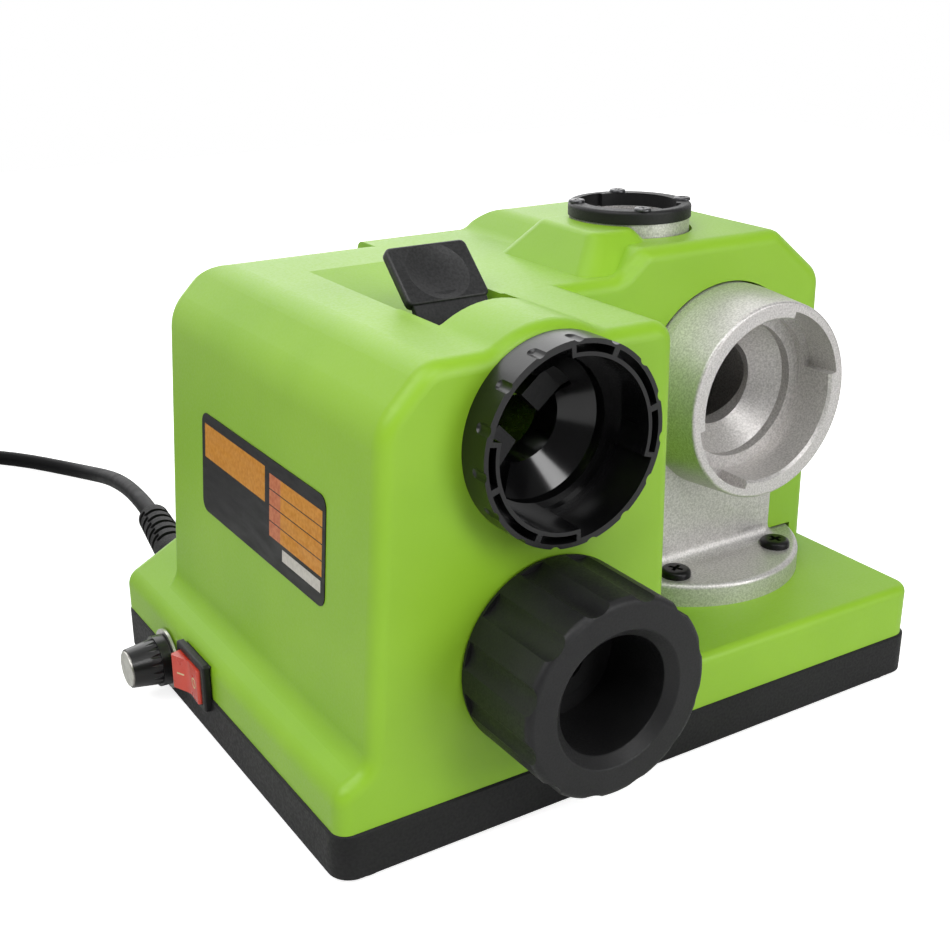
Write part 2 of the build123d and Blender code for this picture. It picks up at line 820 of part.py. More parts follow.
# Motor: can, end bells, bearings, magnets and brushes stand still
can = rod_x(motor_radius, motor_y, motor_z, motor_left, motor_right)
can -= rod_x(motor_radius - 2, motor_y, motor_z, motor_left - 1, motor_right + 1)
save("motor_can", can)


def bell(inner_x, outer_x):
    """Make one end bell with a bearing pocket open to the inside."""
    step = math.copysign(1, inner_x - outer_x)
    pocket_x = inner_x - step * bearing_length
    return turned_x(
        [
            (inner_x, bearing_radius),
            (inner_x, motor_radius),
            (outer_x, motor_radius),
            (outer_x, shaft_radius + 1),
            (pocket_x, shaft_radius + 1),
            (pocket_x, bearing_radius),
        ],
        motor_y,
        motor_z,
    )


front_bell = bell(motor_right, chamber_left)
for y, z in motor_screw_places:
    front_bell -= rod_x(screw_radius + run_gap, y, z, motor_right + 2, chamber_left + 1)
save("motor_front_bell", front_bell)
save("motor_rear_bell", bell(motor_left, motor_left - rear_bell_length))


def bearing(inner_x, step):
    """Make one plain bearing ring in its pocket."""
    ends = sorted((inner_x, inner_x + step * bearing_length))
    ring_blank = rod_x(bearing_radius, motor_y, motor_z, ends[0], ends[1])
    return ring_blank - rod_x(shaft_radius + run_gap, motor_y, motor_z, ends[0] - 1, ends[1] + 1)


save("front_bearing", bearing(motor_right, 1))
save("rear_bearing", bearing(motor_left, -1))
motor_screws = []
for y, z in motor_screw_places:
    cap = rod_x(3, y, z, chamber_left + 3, chamber_left + 5.2)
    motor_screws.append(cap + rod_x(screw_radius, y, z, motor_right + 2.2, chamber_left + 3.1))
save("motor_screws", motor_screws)

core_left = motor_left + 26
core_right = motor_right - 14
magnets = []
for start in (-60, 120):
    shoe = arc_face(core_radius + 0.8, magnet_radius, start, start + 120)
    shoe = extrude(Plane.YZ.offset(core_left) * shoe, amount=core_right - core_left)
    magnets.append(Pos(0, motor_y, motor_z) * shoe)
save("magnets", magnets)

commutator_left = motor_left + 7
commutator_right = commutator_left + 11
brushes = []
for side in (-1, 1):
    ends = sorted((motor_y + side * commutator_radius, motor_y + side * (commutator_radius + 11)))
    brushes.append(
        block(commutator_left + 2.5, commutator_right - 2.5, ends[0], ends[1], motor_z - 2.5, motor_z + 2.5)
        - rod_x(commutator_radius + run_gap, motor_y, motor_z, motor_left, motor_right)
    )
save("carbon_brushes", brushes)

# Motor shaft with all that turns on it
washer_right = wheel_tip + 1.6
nut_right = washer_right + 4.4
shaft = rod_x(shaft_radius, motor_y, motor_z, motor_left - rear_bell_length - 2, nut_right + 2)
save("motor_shaft", shaft)
core = rod_x(core_radius, motor_y, motor_z, core_left, core_right)
core -= rod_x(shaft_radius, motor_y, motor_z, core_left - 1, core_right + 1)
for index in range(9):
    slot_y, slot_z = polar(core_radius, 40 * index)
    core -= rod_x(1.6, motor_y + slot_y, motor_z + slot_z, core_left - 1, core_right + 1)
save("armature_core", core)
windings = []
for near, far in ((core_left - 7, core_left), (core_right, core_right + 7)):
    turn = rod_x(core_radius - 2.2, motor_y, motor_z, near, far)
    turn = fillet(turn.edges().filter_by(GeomType.CIRCLE), 2)
    windings.append(turn - rod_x(shaft_radius, motor_y, motor_z, near - 1, far + 1))
save("armature_windings", windings)
commutator = rod_x(commutator_radius, motor_y, motor_z, commutator_left, commutator_right)
save("commutator", commutator - rod_x(shaft_radius, motor_y, motor_z, motor_left, motor_right))

spacer = rod_x(7, motor_y, motor_z, chamber_left + 3.6, wheel_left)
save("wheel_spacer", spacer - rod_x(shaft_radius, motor_y, motor_z, chamber_left, wheel_left + 1))
wheel = turned_x(
    [
        (wheel_left, shaft_radius),
        (wheel_left, wheel_radius),
        (wheel_left + wheel_rim, wheel_radius),
        (wheel_tip, wheel_tip_radius),
        (wheel_tip, shaft_radius),
    ],
    motor_y,
    motor_z,
)
save("grinding_wheel", wheel)
washer = rod_x(9, motor_y, motor_z, wheel_tip, washer_right)
save("wheel_washer", washer - rod_x(shaft_radius, motor_y, motor_z, wheel_tip - 1, washer_right + 1))
nut_face = Pos(motor_y, motor_z) * RegularPolygon(7, 6)
nut = along_x(nut_face, washer_right, nut_right)
save("wheel_nut", nut - rod_x(shaft_radius, motor_y, motor_z, wheel_tip, nut_right + 1))

# Rocker switch: bezel with a well, and the paddle tilted to off
side_x = -base_width / 2
well_half = bezel_length / 2 - 2
well_depth = 6.0
bezel = block(
    side_x - bezel_proud,
    side_x,
    rocker_y - bezel_length / 2,
    rocker_y + bezel_length / 2,
    rocker_z - bezel_width / 2,
    rocker_z + bezel_width / 2,
)
bezel = fillet(bezel.edges().filter_by(Axis.X), 1.2)
bezel = fillet(bezel.edges().group_by(Axis.X)[0], 0.7)
bezel += block(
    side_x - 0.1,
    side_x + 14,
    rocker_y - bezel_length / 2 + 1.3,
    rocker_y + bezel_length / 2 - 1.3,
    rocker_z - bezel_width / 2 + 1.3,
    rocker_z + bezel_width / 2 - 1.3,
)
paddle_half = bezel_width / 2 - 2.1
bezel -= block(
    side_x - bezel_proud - 1,
    side_x + well_depth,
    rocker_y - well_half,
    rocker_y + well_half,
    rocker_z - paddle_half - body_gap,
    rocker_z + paddle_half + body_gap,
)
for place in (-5, 0, 5):
    tab_y = rocker_y + place
    bezel += block(side_x + 13.9, side_x + 19, tab_y - 0.4, tab_y + 0.4, rocker_z - 2, rocker_z + 2)
trunnion = paddle_half + 0.7
pin_room = trunnion + 0.2
bezel -= rod_z(rocker_pin_radius + run_gap, side_x, rocker_y, rocker_z - pin_room, rocker_z + pin_room)
save("rocker_bezel", bezel)

paddle_points = [
    (-7.0, 4.2),
    (0, 2.4),
    (7.0, 4.2),
    (7.5, 1.0),
    (6.2, -2.8),
    (-6.2, -2.8),
    (-7.5, 1.0),
]
paddle_face = outline(paddle_points, [0.8, 6, 0.8, 0, 0, 0, 0])
paddle = extrude(paddle_face, amount=paddle_half, both=True)
paddle = Pos(side_x, rocker_y, rocker_z) * Rot(0, 0, 90 + rocker_tilt) * paddle
paddle += rod_z(rocker_pin_radius, side_x, rocker_y, rocker_z - trunnion, rocker_z + trunnion)
save("rocker_paddle", paddle)

# Speed control: potentiometer, disc, knob with a silver cap
pot_face = left + wall
pot = rod_x(8, knob_y, knob_z, pot_face, pot_face + 9) & block(
    pot_face, pot_face + 9, knob_y - 9, knob_y + 9, foot_height + tray_floor + 0.3, knob_z + 9
)
pot += rod_x(bushing_radius, knob_y, knob_z, side_x - 2.6, pot_face + 0.1)
shaft_end = side_x - dial_reach + 3.6
pot_shaft_radius = 2.5
pot -= rod_x(pot_shaft_radius + run_gap, knob_y, knob_z, side_x - 4, pot_face + 5)
pot += block(pot_face + 8.9, pot_face + 10, knob_y - 4, knob_y + 4, knob_z - 6, knob_z + 6)
save("potentiometer", pot)
save("pot_shaft", rod_x(pot_shaft_radius, knob_y, knob_z, shaft_end, pot_face + 4.8))
disc_outer = side_x - 0.8
disc = rod_x(dial_radius, knob_y, knob_z, disc_outer, side_x)
save("dial_disc", disc - rod_x(bushing_radius + seat_gap, knob_y, knob_z, disc_outer - 1, side_x + 1))
pot_nut = along_x(Pos(knob_y, knob_z) * RegularPolygon(5.2, 6), side_x - 2.4, disc_outer)
save("pot_nut", pot_nut - rod_x(bushing_radius + run_gap, knob_y, knob_z, side_x - 4, side_x + 1))
cap_inner = left_end + 0.6
knob = turned_x(
    [
        (cap_inner, 0),
        (cap_inner, 5.8),
        (side_x - 4.2, 6.9),
        (side_x - 4.2, dial_knob_radius),
        (disc_outer - body_gap, dial_knob_radius),
        (disc_outer - body_gap, 5.6),
        (side_x - 2.8, 5.6),
        (side_x - 2.8, pot_shaft_radius),
        (shaft_end, pot_shaft_radius),
        (shaft_end, 0),
    ],
    knob_y,
    knob_z,
)
for index in range(18):
    flute_y, flute_z = polar(7.4, 20 * index)
    knob -= rod_x(0.9, knob_y + flute_y, knob_z + flute_z, cap_inner - 1, side_x - 4.2)
save("speed_knob", knob)
cap = rod_x(5.3, knob_y, knob_z, left_end, cap_inner)
save("knob_cap", fillet(cap.edges().group_by(Axis.X)[0], 0.3))

# Speed control board on its posts, with its parts
board_low = foot_height + tray_floor + 5
board_holes = [
    (board_left + 4, board_front + 4),
    (board_left + board_width - 4, board_front + board_depth - 4),
]
for x, y in board_holes:
    tray += rod_z(3, x, y, foot_height + 1, board_low)
save("base_tray", tray)
board = block(
    board_left, board_left + board_width, board_front, board_front + board_depth, board_low, board_low + 1.6
)
save("speed_board", board)
board_top = board_low + 1.6
board_parts = [
    block(board_left + 30, board_left + 33, board_front + 4, board_front + 22, board_top, board_top + 12),
    rod_z(5, board_left + 16, board_front + 22, board_top, board_top + 11),
    rod_z(7, board_left + 16, board_front + 9, board_top, board_top + 8),
    block(board_left + 36, board_left + 48, board_front + 6, board_front + 16, board_top, board_top + 9),
]
save("board_parts", board_parts)

# Strain relief and the lead
relief = turned_y(
    [
        (0, rear - wall - 3),
        (relief_neck + 0.8, rear - wall - 3),
        (relief_neck + 0.8, rear - wall - seat_gap),
        (relief_neck, rear - wall - seat_gap),
        (relief_neck, rear + seat_gap),
        (relief_radius + 0.7, rear + seat_gap),
        (relief_radius + 0.7, rear + 2.6),
        (0, rear + 2.6),
    ],
    relief_x,
    relief_z,
)
relief += relief_axis * turned_z(
    [
        (0, 1),
        (relief_radius, 2),
        (relief_radius - 0.8, relief_length - 1),
        (relief_radius - 1.6, relief_length),
        (0, relief_length),
    ],
    0,
    0,
)
relief -= relief_axis * Cylinder(cord_radius + run_gap, 4 * relief_length)
for index in range(5):
    height = 9 + 5.6 * index
    for side in (-1, 1):
        across = relief_axis * Pos(side * 5.4, 0, height) * Box(4, 20, 2.2)
        upright = relief_axis * Pos(0, side * 5.4, height + 2.8) * Box(20, 4, 2.2)
        relief -= across
        relief -= upright
save("strain_relief", relief)


def relief_point(height):
    """Give a point on the line of the strain relief."""
    place = relief_axis.from_local_coords(Vector(0, 0, height))
    return (place.X, place.Y, place.Z)


coil_z = cord_radius + tie_thick + body_gap
first_bend = relief_length + 16
cord_points = [
    relief_point(-5),
    relief_point(first_bend),
    (-66.7, 172, 17.5),
    (-63.8, 218, 4.6),
    (-90.5, 261.7, coil_z),
    (-138.2, 296.5, coil_z),
]


def bend_radii(points):
    """Give each inner corner the largest radius that leaves part of both runs straight."""
    radii = []
    for before, corner, after in zip(points, points[1:], points[2:]):
        one = Vector(*corner) - Vector(*before)
        two = Vector(*after) - Vector(*corner)
        turn = math.radians(one.get_angle(two))
        spare = 0.45 * min(one.length, two.length)
        if not radii:
            spare = min(spare, first_bend - relief_length - 1)
        radii.append(spare / math.tan(turn / 2))
    return radii


def tube(path):
    """Sweep the round of the lead along a path."""
    return sweep(Plane(origin=path @ 0, z_dir=path % 0) * Circle(cord_radius), path=path)


cord_radii = bend_radii(cord_points)
print("cord bend radii", [round(radius, 1) for radius in cord_radii])
cord_path = FilletPolyline(*cord_points, radius=cord_radii)
save("mains_cord", tube(cord_path))
# Rest of the lead in a tied coil, spiralling in, up a layer and out again, then the plug
heading = (cord_path % 1).normalized()
entry = cord_path @ 1
half_pitch = coil_pitch / 2
coil_outer = coil_inner + half_turns_in * half_pitch
straight = 2 * cord_radius
sideways = Vector(heading.Y, -heading.X, 0)
coil_middle = entry + heading * straight - sideways * coil_outer
coil_frame = Plane(
    origin=(coil_middle.X, coil_middle.Y, 0), x_dir=(sideways.X, sideways.Y, 0), z_dir=(0, 0, 1)
)
plug_axis_z = plug_thick / 2 + 0.05
layer_z = coil_z + 2 * cord_radius + layer_gap
stops = [(coil_outer - index * half_pitch, coil_z) for index in range(half_turns_in + 1)]
stops.append((coil_inner - half_pitch, layer_z))
stops += [(coil_inner + (index + 1) * half_pitch, layer_z) for index in range(half_turns_out)]
stops.append((coil_outer + coil_pitch, layer_z))
stops.append((coil_outer + 2 * coil_pitch, plug_axis_z))
places = []
for index, (reach, height) in enumerate(stops):
    places.append(Vector(reach if index % 2 == 0 else -reach, 0, height))
loops = [Line(Vector(coil_outer, -straight, coil_z), places[0])]
for index in range(len(places) - 1):
    start = places[index]
    end = places[index + 1]
    bulge = (end - start).length / 2 * (1 if index % 2 == 0 else -1)
    loops.append(ThreePointArc(start, (start + end) / 2 + Vector(0, bulge, 0), end))
exit_way = -1 if len(places) % 2 == 0 else 1
coil_exit = places[-1] + Vector(0, exit_way * straight, 0)
loops.append(Line(places[-1], coil_exit))
coil_path = Wire([coil_frame * edge for edge in loops])
coil = tube(coil_path)
save("cord_coil", coil)
lead_length = cord_path.length + coil_path.length
sample_count = 700
samples = [coil_path @ (index / sample_count) for index in range(sample_count + 1)]
apart = int(sample_count * 60 / coil_path.length)
nearest = min(
    (samples[one] - samples[two]).length
    for one in range(sample_count)
    for two in range(one + apart, sample_count + 1)
)
print("coil turns", (len(places) - 1) / 2, "lead", round(lead_length))
print("least gap of the coil to itself", round(nearest - 2 * cord_radius, 2))

tie_near = coil_inner - cord_radius - 5 * body_gap
tie_far = coil_outer - half_pitch / 2 + cord_radius + body_gap
tie_top = layer_z + cord_radius + body_gap
band = block(
    -tie_width / 2, tie_width / 2, tie_near - tie_thick, tie_far + tie_thick, 0, tie_top + tie_thick
)
band = fillet(band.edges().filter_by(Axis.X), 2)
band -= block(-tie_width, tie_width, tie_near, tie_far, tie_thick, tie_top)
save("coil_tie", coil_frame * band)

plug_frame = coil_frame * Pos(coil_exit.X, coil_exit.Y, plug_axis_z) * Rot(-90 * exit_way, 0, 0)
plug_boot = Pos(0, 0, boot_length / 2 + 0.05) * Cylinder(4.6, boot_length + 0.1)
plug_body = Pos(0, 0, boot_length + plug_length / 2) * Box(plug_width, plug_thick, plug_length)
plug_body = fillet(plug_body.edges().filter_by(Axis.Z), 5)
plug_body = fillet(plug_body.edges().group_by(Axis.Z)[0], 3)
save("plug_body", plug_frame * (plug_body + plug_boot))
pins = []
for side in (-1, 1):
    pin_middle = boot_length + plug_length + pin_length / 2
    contact = Pos(side * pin_spacing / 2, 0, pin_middle) * Cylinder(2, pin_length)
    pins.append(plug_frame * fillet(contact.edges().group_by(Axis.Z)[-1], 1.2))
save("plug_pins", pins)
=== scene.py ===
import math

import bpy
from mathutils import Matrix, Vector


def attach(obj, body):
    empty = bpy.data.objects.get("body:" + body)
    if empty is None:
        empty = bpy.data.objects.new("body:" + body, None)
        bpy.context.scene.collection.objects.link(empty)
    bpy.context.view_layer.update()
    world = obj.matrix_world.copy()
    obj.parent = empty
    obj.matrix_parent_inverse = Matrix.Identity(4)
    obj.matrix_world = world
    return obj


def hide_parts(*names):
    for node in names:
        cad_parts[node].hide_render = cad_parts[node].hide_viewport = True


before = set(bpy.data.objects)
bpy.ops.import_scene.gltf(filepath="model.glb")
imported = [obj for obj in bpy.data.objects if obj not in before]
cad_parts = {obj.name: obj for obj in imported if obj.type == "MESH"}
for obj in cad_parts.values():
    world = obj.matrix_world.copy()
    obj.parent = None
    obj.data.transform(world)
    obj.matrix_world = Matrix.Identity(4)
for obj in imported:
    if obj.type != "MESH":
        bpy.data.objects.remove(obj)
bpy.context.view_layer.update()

# Housing: one deep moulding of lime green ABS that covers the motor and carries both ports.
# It is injection moulded with a spark-eroded, satin skin and is screwed to the tray from below.
MM = 0.001


def linear(code):
    """Turn an sRGB hex colour into linear red, green, blue and alpha."""
    parts = [int(code[place:place + 2], 16) / 255 for place in (1, 3, 5)]
    return [p / 12.92 if p < 0.04045 else ((p + 0.055) / 1.055) ** 2.4 for p in parts] + [1]


def add_node(tree, kind, values=None, links=None, **settings):
    """Add one shader node with its settings, its plain socket values and what feeds it."""
    node = tree.nodes.new(kind)
    for name, value in settings.items():
        setattr(node, name, value)
    for socket, value in (values or {}).items():
        node.inputs[socket].default_value = value
    for socket, source in (links or {}).items():
        tree.links.new(source, node.inputs[socket])
    return node


def new_finish(name):
    """Start an empty material and give its tree and the point of the surface it colours."""
    material = bpy.data.materials.new(name)
    material.use_nodes = True
    tree = material.node_tree
    tree.nodes.clear()
    place = add_node(tree, "ShaderNodeTexCoord").outputs["Object"]
    return material, tree, place


def close_finish(tree, values, links):
    """Close a material with its surface shader and output."""
    skin = add_node(tree, "ShaderNodeBsdfPrincipled", values, links)
    add_node(tree, "ShaderNodeOutputMaterial", links={"Surface": skin.outputs["BSDF"]})


def grain(tree, place, size_mm, detail=2.0):
    """Fine irregular grain whose spots are about size_mm across, from 0 to 1."""
    scale = 1 / (size_mm * MM)
    spots = add_node(
        tree, "ShaderNodeTexNoise", {"Scale": scale, "Detail": detail}, {"Vector": place}
    )
    return spots.outputs["Fac"]


def spread(tree, value, low, high, start=0.35, end=0.65):
    """Stretch a 0 to 1 pattern between two numbers."""
    span = add_node(
        tree,
        "ShaderNodeMapRange",
        {"From Min": start, "From Max": end, "To Min": low, "To Max": high},
        {"Value": value},
    )
    return span.outputs["Result"]


def tint(tree, value, dark, light):
    """Colour a 0 to 1 pattern between two sRGB colours."""
    blend = add_node(tree, "ShaderNodeMix", links={"Factor": value}, data_type="RGBA")
    blend.inputs["A"].default_value = linear(dark)
    blend.inputs["B"].default_value = linear(light)
    return blend.outputs["Result"]


def relief(tree, height, depth_mm, strength=1.0):
    """Turn a pattern into a surface relief of that real depth."""
    bump = add_node(
        tree,
        "ShaderNodeBump",
        {"Strength": strength, "Distance": depth_mm * MM},
        {"Height": height},
    )
    return bump.outputs["Normal"]


def dress(finish, *names):
    """Give CAD nodes their finish."""
    for name in names:
        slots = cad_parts[name].data.materials
        slots.clear()
        slots.append(finish)


green_abs, tree, place = new_finish("moulded_lime_abs")
flow = grain(tree, place, 45)
erosion = grain(tree, place, 0.7)
close_finish(
    tree,
    {"IOR": 1.53},
    {
        "Base Color": tint(tree, spread(tree, flow, 0, 1), "#8CBE21", "#95C62B"),
        "Roughness": spread(tree, erosion, 0.40, 0.50),
        "Normal": relief(tree, erosion, 0.03, 0.35),
    },
)
dress(green_abs, "housing")

# Tray and feet: a shallow black ABS moulding with a coarse grain that closes the housing below.
# The four feet are moulded rubber buttons pressed into its corners, and the strain relief and the
# plug are of like rubber.
black_abs, tree, place = new_finish("coarse_black_abs")
flow = grain(tree, place, 18, 4)
erosion = grain(tree, place, 0.8)
close_finish(
    tree,
    {"IOR": 1.53, "Specular IOR Level": 0.3},
    {
        "Base Color": tint(tree, spread(tree, flow, 0, 1), "#0F0F10", "#181819"),
        "Roughness": spread(tree, erosion, 0.52, 0.66),
        "Normal": relief(tree, erosion, 0.06, 0.5),
    },
)
dress(black_abs, "base_tray")

rubber, tree, place = new_finish("moulded_black_rubber")
bloom = grain(tree, place, 6, 3)
skin_grain = grain(tree, place, 0.5)
close_finish(
    tree,
    {"IOR": 1.5, "Specular IOR Level": 0.25},
    {
        "Base Color": tint(tree, spread(tree, bloom, 0, 1), "#0E0E0F", "#161617"),
        "Roughness": spread(tree, skin_grain, 0.55, 0.72),
        "Normal": relief(tree, skin_grain, 0.03, 0.4),
    },
)
dress(rubber, "rubber_feet", "strain_relief", "plug_body")

# Rating plate: a printed vinyl film stuck on the leaning left wall, with its fields left blank.
# It is a quarter of a millimetre thick, has round corners and is a little wavy where it was rubbed on.
film_length = 76.0
film_height = 28.8
film_thick = 0.25
film_corner = 3.2
film_middle = Vector((-79.45, 3.13, 75.9))
wall_inset = 5.2
wall_height = 83.5
wall_lean = math.atan2(wall_inset, wall_height)
wide_along = (-35.9, 3.9)
wide_up = (1.7, 11.4)
slim_along = (6.6, 13.2)
long_along = (13.2, 36.3)
pale_along = (14.4, 35.9)
pale_up = (-10.8, -7.6)
row_height = 4.3
row_top = 10.6
rule = 0.15


def pick(piece, kind, passes):
    """Go into edit mode with the vertices, edges or faces selected whose middle passes a test."""
    mesh = piece.data
    bpy.ops.object.mode_set(mode="EDIT")
    bpy.ops.mesh.select_mode(type=kind)
    bpy.ops.mesh.select_all(action="DESELECT")
    bpy.ops.object.mode_set(mode="OBJECT")
    if kind == "FACE":
        for face in mesh.polygons:
            face.select = passes(face.center)
    elif kind == "EDGE":
        for edge in mesh.edges:
            ends = [mesh.vertices[corner].co for corner in edge.vertices]
            edge.select = passes((ends[0] + ends[1]) / 2)
    else:
        for corner in mesh.vertices:
            corner.select = passes(corner.co)
    bpy.ops.object.mode_set(mode="EDIT")


def start_plane(name, width, depth):
    """Add a flat sheet of that size in millimetres to model from."""
    bpy.ops.object.select_all(action="DESELECT")
    bpy.ops.mesh.primitive_plane_add(size=1)
    sheet = bpy.context.object
    sheet.name = name
    sheet.scale = (width * MM, depth * MM, 1)
    bpy.ops.object.transform_apply(location=False, rotation=False, scale=True)
    return sheet


def thicken(piece, thick_mm, offset=1.0):
    """Give a sheet its thickness and apply it."""
    wall = piece.modifiers.new("wall", "SOLIDIFY")
    wall.thickness = thick_mm * MM
    wall.offset = offset
    bpy.ops.object.modifier_apply(modifier=wall.name)


film = start_plane("rating_film", film_length, film_height)
pick(film, "VERT", lambda spot: True)
bpy.ops.mesh.bevel(offset=film_corner * MM, segments=6, affect="VERTICES")
rows = [row_top - row_height * step for step in range(5)]
rules = [edge + side * rule for edge in rows for side in (-1, 1)]
cuts_along = sorted({*wide_along, *slim_along, *long_along, *pale_along})
cuts_up = [*pale_up, *wide_up, *rules]
for cut in cuts_along:
    bpy.ops.mesh.select_all(action="SELECT")
    bpy.ops.mesh.bisect(plane_co=(cut * MM, 0, 0), plane_no=(1, 0, 0))
for cut in cuts_up:
    bpy.ops.mesh.select_all(action="SELECT")
    bpy.ops.mesh.bisect(plane_co=(0, cut * MM, 0), plane_no=(0, 1, 0))
bpy.ops.object.mode_set(mode="OBJECT")


def vinyl(name, dark, light, low, high):
    """Make one printed colour of the film, with the waves that it was rubbed on with."""
    finish, tree, place = new_finish(name)
    stretch = add_node(tree, "ShaderNodeMapping", {"Scale": (1, 0.25, 1)}, {"Vector": place})
    waves = grain(tree, stretch.outputs["Vector"], 3.5, 3)
    speckle = grain(tree, place, 1.2)
    close_finish(
        tree,
        {"IOR": 1.5, "Specular IOR Level": 0.25},
        {
            "Base Color": tint(tree, spread(tree, speckle, 0, 1), dark, light),
            "Roughness": spread(tree, waves, low, high),
            "Normal": relief(tree, waves, 0.12, 0.35),
        },
    )
    return finish


def inside(value, span):
    """Say whether a value lies inside a span."""
    return span[0] < value < span[1]


amber_ink = 1
orange_ink = 2
pale_ink = 3
film.data.materials.append(vinyl("black_printed_vinyl", "#0C0C0D", "#131314", 0.34, 0.50))
film.data.materials.append(vinyl("amber_printed_vinyl", "#CC8420", "#DA9636", 0.38, 0.52))
film.data.materials.append(vinyl("orange_printed_vinyl", "#C06A44", "#D08056", 0.38, 0.52))
film.data.materials.append(vinyl("pale_printed_vinyl", "#C9C5BC", "#D6D2C9", 0.40, 0.54))
for face in film.data.polygons:
    along = face.center.x / MM
    up = face.center.y / MM
    on_row = any(inside(up, (low + rule, high - rule)) for high, low in zip(rows, rows[1:]))
    if inside(along, wide_along) and inside(up, wide_up):
        face.material_index = amber_ink
    elif inside(along, long_along) and on_row:
        face.material_index = amber_ink
    elif inside(along, slim_along) and on_row:
        face.material_index = orange_ink
    elif inside(along, pale_along) and inside(up, pale_up):
        face.material_index = pale_ink
thicken(film, film_thick)
on_wall = Matrix((
    (0, math.sin(wall_lean), -math.cos(wall_lean), 0),
    (-1, 0, 0, 0),
    (0, math.cos(wall_lean), math.sin(wall_lean), 0),
    (0, 0, 0, 1),
))
film.data.transform(Matrix.Translation(film_middle * MM) @ on_wall)
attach(film, "machine")

# Gauge port: a black ABS ring with a toothed rim and a polished funnel inside, moulded in one.
# Its outside is satin, and the mould was polished where the drill's tip slides in. The speed knob
# comes from such a mould too.
port_axis = Vector((-31.7, 0, 104.3)) * MM
polish_end = 21.5
satin_start = 22.5


def from_axis(tree, place, across, middle):
    """Give the distance of a point from a line, across being 1 along the two axes square to it."""
    flat = add_node(
        tree, "ShaderNodeVectorMath", {1: across}, {0: place}, operation="MULTIPLY"
    )
    reach = add_node(
        tree,
        "ShaderNodeVectorMath",
        {1: tuple(middle)},
        {0: flat.outputs["Vector"]},
        operation="DISTANCE",
    )
    return reach.outputs["Value"]


gauge_abs, tree, place = new_finish("polished_black_abs")
reach = from_axis(tree, place, (1, 0, 1), port_axis)
outside = spread(tree, reach, 0, 1, polish_end * MM, satin_start * MM)
erosion = grain(tree, place, 0.6)
depth = add_node(tree, "ShaderNodeMath", links={0: erosion, 1: outside}, operation="MULTIPLY")
close_finish(
    tree,
    {"IOR": 1.54, "Specular IOR Level": 0.45},
    {
        "Base Color": tint(tree, spread(tree, grain(tree, place, 12), 0, 1), "#0A0A0B", "#111112"),
        "Roughness": spread(tree, outside, 0.14, 0.28, 0, 1),
        "Normal": relief(tree, depth.outputs["Value"], 0.03, 0.5),
    },
)
dress(gauge_abs, "gauge_body", "speed_knob")

# Chuck and small black mouldings: glass-filled nylon with a fine even grain.
# The fluted knob of the chuck is turned by hand, and the jaws of the gauge are of the same nylon.
nylon, tree, place = new_finish("fine_grained_black_nylon")
flow = grain(tree, place, 14, 3)
erosion = grain(tree, place, 0.55)
close_finish(
    tree,
    {"IOR": 1.53, "Specular IOR Level": 0.35},
    {
        "Base Color": tint(tree, spread(tree, flow, 0, 1), "#101011", "#181819"),
        "Roughness": spread(tree, erosion, 0.44, 0.58),
        "Normal": relief(tree, erosion, 0.045, 0.5),
    },
)
dress(nylon, "gauge_lever", "gauge_jaw_upper", "gauge_jaw_lower", "chuck_knob", "chuck_body")
dress(nylon, "chuck_pocket", "top_port_ring")
dress(nylon, "rocker_bezel", "potentiometer", "board_parts")

# Thumb lever: a plate with round corners and a shallow dish for the thumb, in one with its stem.
# It is moulded from black nylon with a coarse grain and turns on a steel pin. The stem, its hub and
# its tail are cut from a copy of the CAD node, and the plate is joined on.
plate_width = 24.0
plate_length = 17.8
plate_thick = 3.2
plate_lean = math.radians(43)
plate_edge = Vector((-31.7, -1.6, 139.2))
plate_corner = 1.8
plate_round = 0.9
dish_radius = 26.0
dish_depth = 1.5
stem_front = Vector((-31.7, -14.2, 126.8))
stem_facing = Vector((0, -0.834, 0.551))
stem_width = 21.6
stem_sink = 0.6
stem_reach = 4.0

grained_nylon, tree, place = new_finish("coarse_grained_black_nylon")
flow = grain(tree, place, 14, 3)
erosion = grain(tree, place, 0.7)
close_finish(
    tree,
    {"IOR": 1.53, "Specular IOR Level": 0.4},
    {
        "Base Color": tint(tree, spread(tree, erosion, 0, 1), "#19191A", "#2B2B2C"),
        "Roughness": spread(tree, flow, 0.40, 0.50),
        "Normal": relief(tree, erosion, 0.08, 0.6),
    },
)


def start_block(width, depth, height):
    """Add a block of that size in millimetres to model from."""
    bpy.ops.object.select_all(action="DESELECT")
    bpy.ops.mesh.primitive_cube_add(size=1)
    block = bpy.context.object
    block.scale = (width * MM, depth * MM, height * MM)
    bpy.ops.object.transform_apply(location=False, rotation=False, scale=True)
    return block


def combine(piece, other, operation):
    """Cut a solid with another one or join them, and take the other one away."""
    bpy.ops.object.select_all(action="DESELECT")
    bpy.context.view_layer.objects.active = piece
    join = piece.modifiers.new("join", "BOOLEAN")
    join.operation = operation
    join.solver = "EXACT"
    join.object = other
    bpy.ops.object.modifier_apply(modifier=join.name)
    bpy.data.objects.remove(other)


